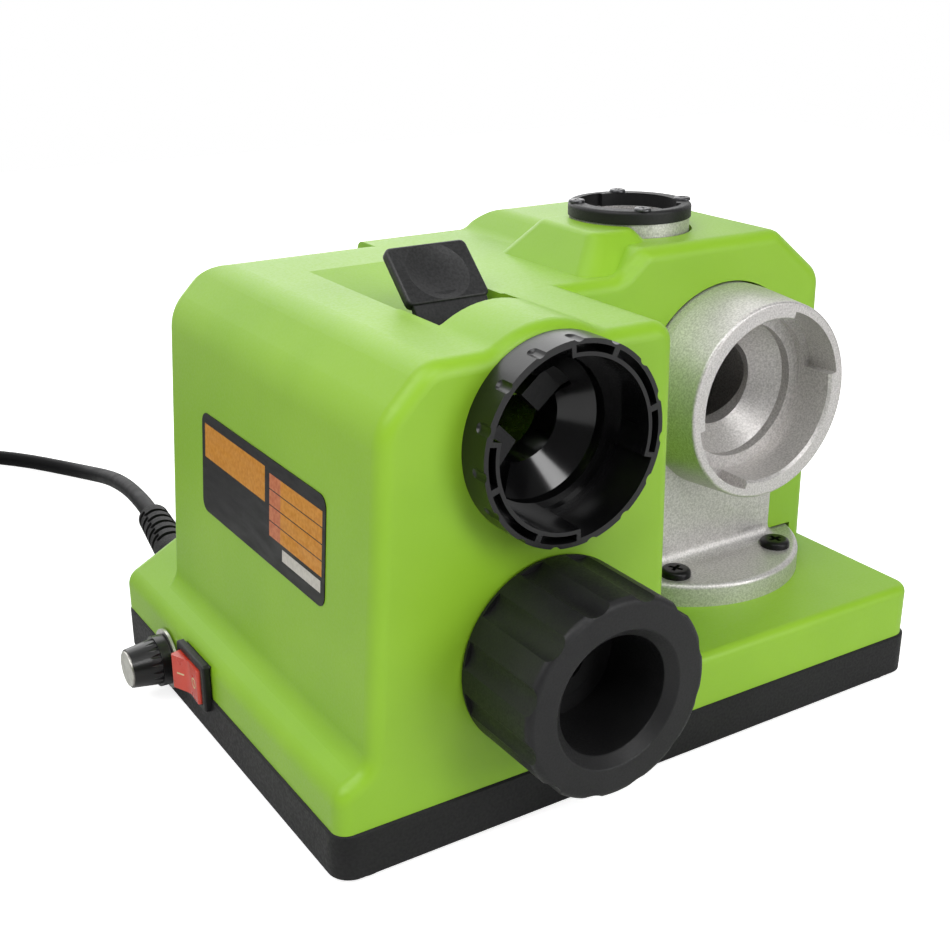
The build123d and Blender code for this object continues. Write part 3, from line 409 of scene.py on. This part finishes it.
plate = start_block(plate_width, plate_length, plate_thick)
pick(plate, "EDGE", lambda spot: abs(spot.z) < 0.1 * plate_thick * MM)
bpy.ops.mesh.bevel(offset=plate_corner * MM, segments=5, affect="EDGES")
for side in (1, -1):
    pick(plate, "FACE", lambda spot: side * spot.z > 0.49 * plate_thick * MM)
    bpy.ops.mesh.bevel(offset=plate_round * MM, segments=4, affect="EDGES")
bpy.ops.object.mode_set(mode="OBJECT")
dish_height = plate_thick / 2 + dish_radius - dish_depth
bpy.ops.object.select_all(action="DESELECT")
bpy.ops.mesh.primitive_uv_sphere_add(
    segments=72, ring_count=144, radius=dish_radius * MM, location=(0, 0, dish_height * MM)
)
combine(plate, bpy.context.object, "DIFFERENCE")
lean = Matrix.Rotation(plate_lean, 4, "X")
plate_facing = lean @ Vector((0, 0, 1))
plate_upwards = lean @ Vector((0, 1, 0))
plate_middle = plate_edge - plate_upwards * plate_length / 2 - plate_facing * plate_thick / 2
plate.data.transform(Matrix.Translation(plate_middle * MM) @ lean)

thumb_lever = bpy.data.objects.new("thumb_lever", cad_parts["gauge_lever"].data.copy())
bpy.context.scene.collection.objects.link(thumb_lever)
bpy.context.view_layer.objects.active = thumb_lever
pick(thumb_lever, "VERT", lambda spot: True)
bpy.ops.mesh.remove_doubles(threshold=0.001 * MM)
stem_top = plate_edge - plate_facing * stem_sink
stem_rear = plate_middle - plate_upwards * (plate_length / 2 - stem_reach)
for spot, facing in (
    (stem_top, plate_facing),
    (stem_rear, plate_upwards),
    (stem_front, stem_facing),
):
    bpy.ops.mesh.select_all(action="SELECT")
    bpy.ops.mesh.bisect(plane_co=spot * MM, plane_no=facing, use_fill=True, clear_outer=True)
bpy.ops.object.mode_set(mode="OBJECT")
narrow = Matrix.Scale(stem_width / plate_width, 4, (1, 0, 0))
lever_middle = Matrix.Translation(Vector((plate_edge.x, 0, 0)) * MM)
thumb_lever.data.transform(lever_middle @ narrow @ lever_middle.inverted())
combine(thumb_lever, plate, "UNION")
bpy.ops.object.shade_smooth_by_angle(angle=math.radians(30))
thumb_lever.data.materials.clear()
thumb_lever.data.materials.append(grained_nylon)
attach(thumb_lever, "lever")
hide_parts("gauge_lever")

# Grinding head: one pressure casting of aluminium with flange, column, front cup and top collar.
# It is bead-blasted to an even sparkling grey and left bare. The beads are drawn about twice as
# coarse as the real ones, so that they show. The end bells of the motor are cast alike.
cast_aluminium, tree, place = new_finish("bead_blasted_cast_aluminium")
stain = grain(tree, place, 24, 3)
beads = grain(tree, place, 0.55, 1)
pits = add_node(
    tree, "ShaderNodeTexVoronoi", {"Scale": 1 / (0.6 * MM)}, {"Vector": place}
)
close_finish(
    tree,
    {"Metallic": 0.6},
    {
        "Base Color": tint(tree, spread(tree, beads, 0, 1, 0.3, 0.7), "#BAB7B5", "#DEDBD9"),
        "Roughness": spread(tree, stain, 0.40, 0.48),
        "Normal": relief(tree, pits.outputs["Distance"], 0.06, 0.4),
    },
)
dress(cast_aluminium, "grinding_head", "motor_front_bell", "motor_rear_bell")

# Screws in view: pan heads with a cross recess, cold headed from wire.
# Three blackened ones hold the casting down, and four dull zinc ones hold the ring of the top port.
flange_middle = Vector((57.8, -2.675, 37.3))
flange_circle = 31.0
flange_angles = (-50, -130, 90)
ring_middle = Vector((46.3, 12.525, 140.5))
ring_circle = 15.8
ring_angles = (65, 155, 245, 335)


def cross_screws(name, places, radius, rise, shank_radius, shank_length):
    """Model one screw with its cross recess and set a copy of it at each place."""
    slot_length = 1.3 * radius
    slot_width = 0.32 * radius
    slot_height = 1.5 * rise
    crown = 0.55 * rise
    bpy.ops.object.select_all(action="DESELECT")
    bpy.ops.mesh.primitive_cylinder_add(vertices=40, radius=radius * MM, depth=rise * MM)
    screw = bpy.context.object
    screw.name = name
    pick(screw, "EDGE", lambda spot: spot.z > 0.49 * rise * MM)
    bpy.ops.mesh.bevel(offset=crown * MM, segments=4, affect="EDGES")
    pick(screw, "FACE", lambda spot: spot.z < -0.49 * rise * MM)
    bpy.ops.mesh.inset(thickness=(radius - shank_radius) * MM)
    bpy.ops.mesh.extrude_region_move(TRANSFORM_OT_translate={"value": (0, 0, -shank_length * MM)})
    bpy.ops.object.mode_set(mode="OBJECT")
    for turn in (0, 90):
        blade = start_block(slot_length, slot_width, slot_height)
        pick(blade, "FACE", lambda spot: spot.z < -0.49 * slot_height * MM)
        bpy.ops.transform.resize(value=(0.5, 0.6, 1))
        bpy.ops.object.mode_set(mode="OBJECT")
        spin = Matrix.Rotation(math.radians(turn), 4, "Z")
        blade.data.transform(Matrix.Translation((0, 0, 0.5 * rise * MM)) @ spin)
        combine(screw, blade, "DIFFERENCE")
    bpy.ops.object.select_all(action="DESELECT")
    lift = Vector((0, 0, rise / 2))
    for index, spot in enumerate(places[1:]):
        copy = screw.copy()
        copy.data = screw.data.copy()
        bpy.context.scene.collection.objects.link(copy)
        last_turn = Matrix.Rotation(math.radians(25 + 37 * index), 4, "Z")
        copy.data.transform(Matrix.Translation((spot + lift) * MM) @ last_turn)
        copy.select_set(True)
    screw.data.transform(Matrix.Translation((places[0] + lift) * MM))
    screw.select_set(True)
    bpy.context.view_layer.objects.active = screw
    bpy.ops.object.join()
    bpy.ops.object.shade_smooth_by_angle(angle=math.radians(35))
    return screw


def round_places(middle, radius, angles):
    """Give the points on a circle at some angles in degrees."""
    turns = [math.radians(angle) for angle in angles]
    return [middle + Vector((radius * math.cos(turn), radius * math.sin(turn), 0)) for turn in turns]


black_steel, tree, place = new_finish("blackened_steel")
oxide = grain(tree, place, 1.5, 3)
close_finish(
    tree,
    {"Metallic": 0.6},
    {
        "Base Color": tint(tree, spread(tree, oxide, 0, 1), "#101011", "#1E1E1F"),
        "Roughness": spread(tree, oxide, 0.28, 0.40),
        "Normal": relief(tree, oxide, 0.02, 0.3),
    },
)
zinc, tree, place = new_finish("dull_zinc_plate")
film_marks = grain(tree, place, 1.2, 3)
close_finish(
    tree,
    {"Metallic": 1.0},
    {
        "Base Color": tint(tree, spread(tree, film_marks, 0, 1), "#4C4C4E", "#666668"),
        "Roughness": spread(tree, film_marks, 0.30, 0.42),
        "Normal": relief(tree, film_marks, 0.02, 0.3),
    },
)
head_screws = cross_screws(
    "head_pan_screws",
    round_places(flange_middle, flange_circle, flange_angles),
    radius=4.5,
    rise=2.2,
    shank_radius=1.6,
    shank_length=16,
)
head_screws.data.materials.append(black_steel)
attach(head_screws, "machine")
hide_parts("head_screws")
ring_screws = cross_screws(
    "ring_pan_screws",
    round_places(ring_middle, ring_circle, ring_angles),
    radius=2.4,
    rise=0.8,
    shank_radius=1.2,
    shank_length=10,
)
ring_screws.data.materials.append(zinc)
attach(ring_screws, "machine")
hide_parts("top_port_screws")

# Turned steel: pins, jaws, bearings, shaft and the motor's drawn can.
# Fine lathe lines run round each piece, with a thin film of oil.
steel, tree, place = new_finish("turned_steel")
lines = grain(tree, place, 0.6, 3)
oil = grain(tree, place, 9, 3)
close_finish(
    tree,
    {"Metallic": 1.0},
    {
        "Base Color": tint(tree, spread(tree, oil, 0, 1), "#A9A9AB", "#C2C2C4"),
        "Roughness": spread(tree, lines, 0.26, 0.36),
        "Normal": relief(tree, lines, 0.02, 0.3),
    },
)
dress(steel, "lever_pin", "lever_spring", "chuck_jaws", "motor_can", "front_bearing", "rear_bearing")
dress(steel, "motor_screws", "motor_shaft", "wheel_spacer", "wheel_washer", "wheel_nut")
dress(steel, "pot_shaft", "pot_nut", "housing_screws", "plug_pins", "top_port_screws", "head_screws")

# Motor inside and wheel: stacked steel sheets, enamelled copper, ferrite and carbon.
# The wheel is a turned steel blank with diamond grit bonded on by nickel.


def bands(tree, place, pitch_mm, direction="X"):
    """Straight even lines of that spacing, from 0 to 1."""
    wave = add_node(
        tree,
        "ShaderNodeTexWave",
        {"Scale": math.pi / 10 / (pitch_mm * MM), "Distortion": 0.2},
        {"Vector": place},
        bands_direction=direction,
    )
    return wave.outputs["Fac"]


sheets, tree, place = new_finish("stacked_electrical_steel")
edges = bands(tree, place, 0.8)
close_finish(
    tree,
    {"Metallic": 1.0},
    {
        "Base Color": tint(tree, edges, "#5F6064", "#8C8D91"),
        "Roughness": spread(tree, edges, 0.38, 0.55, 0, 1),
        "Normal": relief(tree, edges, 0.08, 0.6),
    },
)
dress(sheets, "armature_core")
copper, tree, place = new_finish("enamelled_copper_wire")
strands = bands(tree, place, 0.9)
close_finish(
    tree,
    {"Metallic": 0.85},
    {
        "Base Color": tint(tree, strands, "#7E3B17", "#B8683A"),
        "Roughness": spread(tree, strands, 0.26, 0.42, 0, 1),
        "Normal": relief(tree, strands, 0.25, 0.8),
    },
)
dress(copper, "armature_windings", "commutator")
ferrite, tree, place = new_finish("sintered_ferrite")
pores = grain(tree, place, 1.0, 4)
close_finish(
    tree,
    {"IOR": 1.6},
    {
        "Base Color": tint(tree, spread(tree, pores, 0, 1), "#26262A", "#38383C"),
        "Roughness": spread(tree, pores, 0.60, 0.80),
        "Normal": relief(tree, pores, 0.06, 0.5),
    },
)
dress(ferrite, "magnets", "carbon_brushes")
grit, tree, place = new_finish("diamond_grit_on_nickel")
grains = add_node(tree, "ShaderNodeTexVoronoi", {"Scale": 1 / (0.5 * MM)}, {"Vector": place})
close_finish(
    tree,
    {"Metallic": 0.8},
    {
        "Base Color": tint(tree, grains.outputs["Distance"], "#8A877F", "#4A4843"),
        "Roughness": spread(tree, grains.outputs["Distance"], 0.35, 0.60, 0, 0.8),
        "Normal": relief(tree, grains.outputs["Distance"], 0.15, 0.8),
    },
)
dress(grit, "grinding_wheel")

# Switch: a black snap-in bezel with a red rocker of clear-tinted polycarbonate.
# The off ring and the on bar are printed in cream ink on its two halves.
rocker_pivot = Vector((-91.7, 26.525, 18.0))
rocker_turn = 100
rocker_half = 7.0
rocker_rise = 1.8
rocker_middle = 2.4
rocker_slope = math.degrees(math.atan2(rocker_rise, rocker_half))
ink_thick = 0.12
bar_length = 2.8
bar_width = 0.45
bar_corner = 0.2
bar_along = 3.4
ring_radius = 1.6
ring_line = 0.42
ring_along = -3.6

red_pc, tree, place = new_finish("red_polycarbonate")
flow = grain(tree, place, 5, 2)
close_finish(
    tree,
    {"IOR": 1.58},
    {
        "Base Color": tint(tree, spread(tree, flow, 0, 1), "#D03A28", "#DB4631"),
        "Roughness": spread(tree, flow, 0.26, 0.36),
        "Normal": relief(tree, flow, 0.02, 0.2),
    },
)
dress(red_pc, "rocker_paddle")
cream_ink, tree, place = new_finish("cream_pad_print")
speckle = grain(tree, place, 0.4)
close_finish(
    tree,
    {"IOR": 1.5},
    {
        "Base Color": tint(tree, spread(tree, speckle, 0, 1), "#D9CB94", "#E8DDB2"),
        "Roughness": spread(tree, speckle, 0.45, 0.60),
        "Normal": relief(tree, speckle, 0.02, 0.3),
    },
)


def set_on_rocker(mark, along):
    """Lay a flat mark on the half of the rocker that is along from its middle, and fix it there."""
    height = rocker_middle + rocker_rise * abs(along) / rocker_half
    slope = Matrix.Rotation(math.radians(math.copysign(rocker_slope, along)), 4, "Z")
    stand = Matrix.Rotation(math.radians(-90), 4, "X")
    spot = Matrix.Translation(Vector((along, height, 0)) * MM)
    turn = Matrix.Rotation(math.radians(rocker_turn), 4, "Z")
    pivot = Matrix.Translation(rocker_pivot * MM)
    mark.data.transform(pivot @ turn @ spot @ slope @ stand)
    mark.data.materials.append(cream_ink)
    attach(mark, "rocker")


on_bar = start_plane("rocker_on_bar", bar_length, bar_width)
pick(on_bar, "VERT", lambda spot: True)
bpy.ops.mesh.bevel(offset=bar_corner * MM, segments=4, affect="VERTICES")
bpy.ops.object.mode_set(mode="OBJECT")
thicken(on_bar, ink_thick, 0)
set_on_rocker(on_bar, bar_along)
bpy.ops.object.select_all(action="DESELECT")
bpy.ops.mesh.primitive_circle_add(vertices=40, radius=ring_radius * MM, fill_type="NGON")
off_ring = bpy.context.object
off_ring.name = "rocker_off_ring"
pick(off_ring, "FACE", lambda spot: True)
bpy.ops.mesh.inset(thickness=ring_line * MM)
bpy.ops.mesh.delete(type="FACE")
bpy.ops.object.mode_set(mode="OBJECT")
thicken(off_ring, ink_thick, 0)
set_on_rocker(off_ring, ring_along)

# Speed control: a fluted knob with a spun aluminium cap, over a stamped aluminium disc.
# The tool marks of the spinning run round the shaft in fine rings, drawn coarse enough to show.
dial_axis = Vector((0, 49.825, 12.5)) * MM
ring_pitch = 0.5
spun, tree, place = new_finish("spun_aluminium")
reach = from_axis(tree, place, (0, 1, 1), dial_axis)
phase = add_node(
    tree, "ShaderNodeMath", {1: 2 * math.pi / (ring_pitch * MM)}, {0: reach}, operation="MULTIPLY"
)
rings = add_node(tree, "ShaderNodeMath", links={0: phase.outputs["Value"]}, operation="SINE")
haze = grain(tree, place, 3, 3)
close_finish(
    tree,
    {"Metallic": 1.0},
    {
        "Base Color": tint(tree, spread(tree, haze, 0, 1), "#B5B3AE", "#CCCAC5"),
        "Roughness": spread(tree, rings.outputs["Value"], 0.30, 0.42, -1, 1),
        "Normal": relief(tree, rings.outputs["Value"], 0.02, 0.3),
    },
)
dress(spun, "dial_disc", "knob_cap")

# Speed board: glass-epoxy laminate with tinned copper tracks under green lacquer.
# It is cut from a panel and stands on the potentiometer behind the wall.
board_green, tree, place = new_finish("lacquered_glass_epoxy")
tracks = add_node(
    tree,
    "ShaderNodeTexBrick",
    {"Scale": 1 / (9 * MM), "Mortar Size": 0.03},
    {"Vector": place},
)
close_finish(
    tree,
    {"IOR": 1.52},
    {
        "Base Color": tint(tree, tracks.outputs["Fac"], "#1B4A2A", "#2F6B41"),
        "Roughness": spread(tree, grain(tree, place, 4), 0.28, 0.42),
    },
)
dress(board_green, "speed_board")

# Lead: a smooth black PVC mains lead of 6 mm that leaves the strain relief at the rear left.
# The length that is put away lies in a neat round coil behind the machine, with its plug beside it.
pvc, tree, place = new_finish("smooth_black_pvc")
flow = grain(tree, place, 8, 3)
skin_grain = grain(tree, place, 0.6)
close_finish(
    tree,
    {"IOR": 1.54, "Specular IOR Level": 0.06},
    {
        "Base Color": tint(tree, spread(tree, flow, 0, 1), "#101011", "#171718"),
        "Roughness": spread(tree, flow, 0.42, 0.54),
        "Normal": relief(tree, skin_grain, 0.02, 0.3),
    },
)
cord_radius = 3.0
relief_tip = Vector((-68.190, 123.075, 25.5))
run_points = [
    relief_tip,
    Vector((-65.685, 140.899, 25.5)),
    Vector((-60.2, 186.025, 17.5)),
    Vector((-57.3, 232.025, 4.6)),
    Vector((-84.0, 275.725, 4.3)),
    Vector((-131.7, 310.525, 4.3)),
]
coil_reach = 42.7
coil_start = 6
half_turn_step = 3.3
low_layer = 4.3
high_layer = 11.1
heading = (run_points[-1] - run_points[-2]).normalized()
sideways = Vector((heading.y, -heading.x, 0))
coil_middle = run_points[-1] + heading * coil_start - sideways * coil_reach
coil_middle.z = 0
low_stops = [(coil_reach - half_turn_step * step, low_layer) for step in range(6)]
high_stops = [(22.9, high_layer)] + [(29.5 + half_turn_step * step, high_layer) for step in range(5)]
stops = low_stops + high_stops + [(49.3, high_layer), (55.9, 6.9)]
steps_per_half_turn = 6
# The spline runs inside its points by the cosine of half a step, 15 degrees, so they lie further out.
spline_reach = 1 / 0.966
boot_gap = 4
boot_depth = 8
coil_points = []
for turn in range(len(stops) - 1):
    side = 1 if turn % 2 == 0 else -1
    start_reach, start_z = stops[turn]
    end_reach, end_z = stops[turn + 1]
    middle = side * (start_reach - end_reach) / 2
    radius = (start_reach + end_reach) / 2 * spline_reach
    for step in range(steps_per_half_turn):
        share = (step + 0.5) / steps_per_half_turn
        across = middle + side * radius * math.cos(math.pi * share)
        along = side * radius * math.sin(math.pi * share)
        height = start_z + (end_z - start_z) * share
        point = coil_middle + sideways * across + heading * along
        coil_points.append(Vector((point.x, point.y, height)))
tail = coil_middle - sideways * stops[-1][0]
boot_mouth = Vector((tail.x, tail.y, stops[-1][1])) - heading * boot_gap
boot_inside = boot_mouth - heading * boot_depth
lead_points = run_points + coil_points + [boot_mouth, boot_inside]

lead_line = bpy.data.curves.new("mains_lead", "CURVE")
lead_line.dimensions = "3D"
spline = lead_line.splines.new("NURBS")
spline.points.add(len(lead_points) - 1)
for point, place_mm in zip(spline.points, lead_points):
    point.co = (place_mm.x * MM, place_mm.y * MM, place_mm.z * MM, 1)
spline.order_u = 3
spline.use_endpoint_u = True
spline.resolution_u = 6
lead_line.bevel_depth = cord_radius * MM
lead_line.bevel_resolution = 5
lead_line.use_fill_caps = True
lead = bpy.data.objects.new("mains_lead", lead_line)
bpy.context.scene.collection.objects.link(lead)
lead.data.materials.append(pvc)
dress(pvc, "mains_cord", "cord_coil")
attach(lead, "machine")
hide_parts("mains_cord", "cord_coil")

# Tie of the coil: a black nylon cable tie with a ratchet head, pulled round the turns.
# The strap is moulded flat with fine teeth across it.
tie_near = 20.7
tie_far = 45.35
tie_height = 15.4
tie_width = 8.0
tie_thick = 1.0
tie_corner = 3.0

ribbed_nylon, tree, place = new_finish("toothed_black_nylon")
teeth = bands(tree, place, 1.2, "DIAGONAL")
close_finish(
    tree,
    {"IOR": 1.53},
    {
        "Base Color": tint(tree, teeth, "#141415", "#202021"),
        "Roughness": spread(tree, teeth, 0.40, 0.52, 0, 1),
        "Normal": relief(tree, teeth, 0.12, 0.6),
    },
)
strap = start_plane("coil_strap", tie_far - tie_near - tie_thick, tie_height - tie_thick)
pick(strap, "VERT", lambda spot: True)
bpy.ops.mesh.bevel(offset=tie_corner * MM, segments=5, affect="VERTICES")
bpy.ops.mesh.select_all(action="SELECT")
bpy.ops.mesh.delete(type="ONLY_FACE")
bpy.ops.mesh.select_all(action="SELECT")
bpy.ops.mesh.extrude_region_move(TRANSFORM_OT_translate={"value": (0, 0, tie_width * MM)})
bpy.ops.mesh.select_all(action="SELECT")
bpy.ops.mesh.normals_make_consistent(inside=False)
bpy.ops.object.mode_set(mode="OBJECT")
thicken(strap, tie_thick, 0)
bpy.ops.object.shade_smooth_by_angle(angle=math.radians(40))
strap.data.materials.append(ribbed_nylon)
strap_middle = Vector(((tie_near + tie_far) / 2, tie_height / 2, -tie_width / 2))
stand_up = Matrix((
    (heading.x, 0, sideways.x, 0),
    (heading.y, 0, sideways.y, 0),
    (0, 1, 0, 0),
    (0, 0, 0, 1),
))
strap.data.transform(
    Matrix.Translation(coil_middle * MM) @ stand_up @ Matrix.Translation(strap_middle * MM)
)
strap.data.update()
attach(strap, "machine")
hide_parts("coil_tie")

# Stage: a plain white floor that keeps the soft shadow, and a white world behind it.
# The camera sees both as white. Glossy pieces see a room that is dim in front and white behind.
floor_size = 2.2
floor_lift = 0.8
room_light = 0.06
front_wall = 0.12
rear_wall = 1.0
bpy.ops.object.select_all(action="DESELECT")
bpy.ops.mesh.primitive_plane_add(size=floor_size)
floor = bpy.context.object
floor.name = "floor"
floor_paint = bpy.data.materials.new("white_studio_floor")
floor_paint.use_nodes = True
tree = floor_paint.node_tree
tree.nodes.clear()
paper = add_node(tree, "ShaderNodeBsdfDiffuse", {"Color": linear("#F2F2F2")})
ray = add_node(tree, "ShaderNodeLightPath")
seen = ray.outputs["Is Camera Ray"]
lift = add_node(tree, "ShaderNodeMath", {1: floor_lift}, {0: seen}, operation="MULTIPLY")
glow = add_node(tree, "ShaderNodeEmission", links={"Strength": lift.outputs["Value"]})
both = add_node(
    tree, "ShaderNodeAddShader", links={0: paper.outputs["BSDF"], 1: glow.outputs["Emission"]}
)
add_node(tree, "ShaderNodeOutputMaterial", links={"Surface": both.outputs["Shader"]})
floor.data.materials.append(floor_paint)

world = bpy.data.worlds.new("studio")
bpy.context.scene.world = world
world.use_nodes = True
tree = world.node_tree
tree.nodes.clear()
ray = add_node(tree, "ShaderNodeLightPath")
around = add_node(tree, "ShaderNodeTexCoord")
parts = add_node(tree, "ShaderNodeSeparateXYZ", links={"Vector": around.outputs["Generated"]})
walls = spread(tree, parts.outputs["Y"], front_wall, rear_wall, -0.5, 0.5)
mirrored = add_node(
    tree, "ShaderNodeMix", {"A": room_light}, {"Factor": ray.outputs["Is Glossy Ray"], "B": walls}
)
strength = add_node(
    tree,
    "ShaderNodeMix",
    {"B": 1.0},
    {"Factor": ray.outputs["Is Camera Ray"], "A": mirrored.outputs["Result"]},
)
sky = add_node(tree, "ShaderNodeBackground", links={"Strength": strength.outputs["Result"]})
sky.inputs["Color"].default_value = (1, 1, 1, 1)
add_node(tree, "ShaderNodeOutputWorld", links={"Surface": sky.outputs["Background"]})

# Lights: a main softbox from the upper left, one from the front right and a wide one behind that
# lays a white sheen on the upper faces, and a small one in front for the gleam in the funnel.
lamp_target = Vector((0, 0, 0.06))
for name, spot, size, power in (
    ("softbox_main", (-0.60, -0.22, 0.95), 0.9, 7.8),
    ("softbox_front", (0.50, -1.10, 0.40), 0.6, 5.4),
    ("softbox_rear", (0.30, 1.25, 0.70), 1.4, 9.0),
    ("spot_front", (0.02, -0.82, 0.88), 0.35, 3.0),
):
    lamp = bpy.data.lights.new(name, "AREA")
    lamp.size = size
    lamp.energy = power
    softbox = bpy.data.objects.new(name, lamp)
    softbox.location = spot
    aim = lamp_target - Vector(spot)
    softbox.rotation_euler = aim.to_track_quat("-Z", "Y").to_euler()
    bpy.context.scene.collection.objects.link(softbox)

# Camera: the photograph's view, from the front left and above, close enough for strong perspective.
# Its place, aim and lens were fitted to the straight edges and round rims.
camera_target = Vector((-0.013326, 0.003217, 0.069796))
eye = bpy.data.cameras.new("camera")
eye.lens = 51.54
eye.sensor_width = 36
camera = bpy.data.objects.new("camera", eye)
camera.location = (-0.207081, -0.300864, 0.210220)
aim = camera_target - camera.location
camera.rotation_euler = aim.to_track_quat("-Z", "Y").to_euler()
bpy.context.scene.collection.objects.link(camera)
bpy.context.scene.camera = camera
bpy.context.scene.view_settings.view_transform = "Standard"
